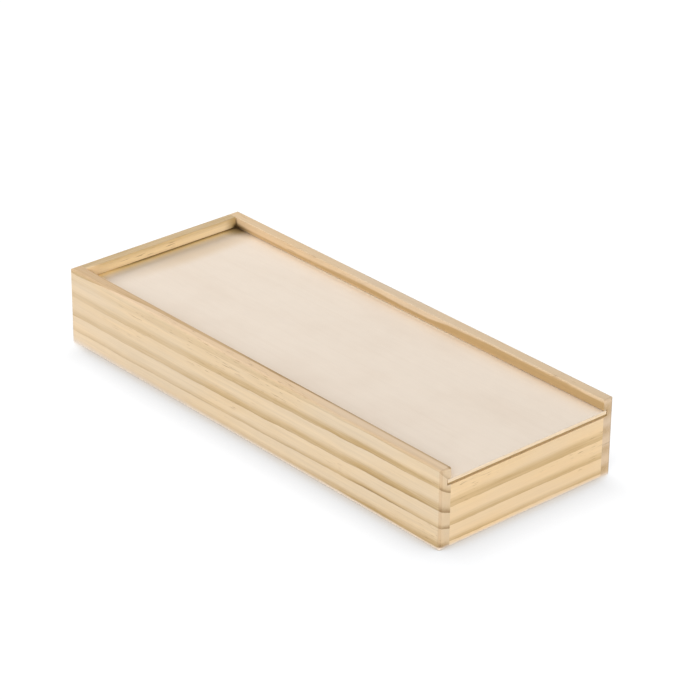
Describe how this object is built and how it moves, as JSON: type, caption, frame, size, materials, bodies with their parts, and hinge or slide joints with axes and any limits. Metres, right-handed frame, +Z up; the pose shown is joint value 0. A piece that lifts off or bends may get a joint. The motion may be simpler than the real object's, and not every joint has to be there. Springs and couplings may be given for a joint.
{
  "type": "domino storage box",
  "caption": "Long shallow pine storage box for dominoes, with a plywood lid that slides out of grooves under the rim, over a lower front wall",
  "frame": {"origin": "under the middle of the box, on the surface that it stands on", "axes": "+X towards the front, the way the lid slides out, +Y towards the left side wall, +Z up"},
  "size_m": [0.2, 0.08, 0.03],
  "materials": {
    "pine": "bare sanded pine with darker growth rings, end grain at the ends of the side walls",
    "base_plywood": "bare sanded three-ply panel",
    "lid_plywood": "bare sanded three-ply panel with pale close-grained face veneer"
  },
  "bodies": {
    "case": {"right_side_wall": "pine", "left_side_wall": "pine", "back_wall": "pine", "front_wall": "pine", "base_panel": "base_plywood"},
    "lid": {"sliding_lid": "lid_plywood"}
  },
  "joints": [
    {"name": "lid_slide", "type": "slide", "parent": "case", "child": "lid", "axis": [1, 0, 0], "range_m": [0, 0.205]}
  ]
}
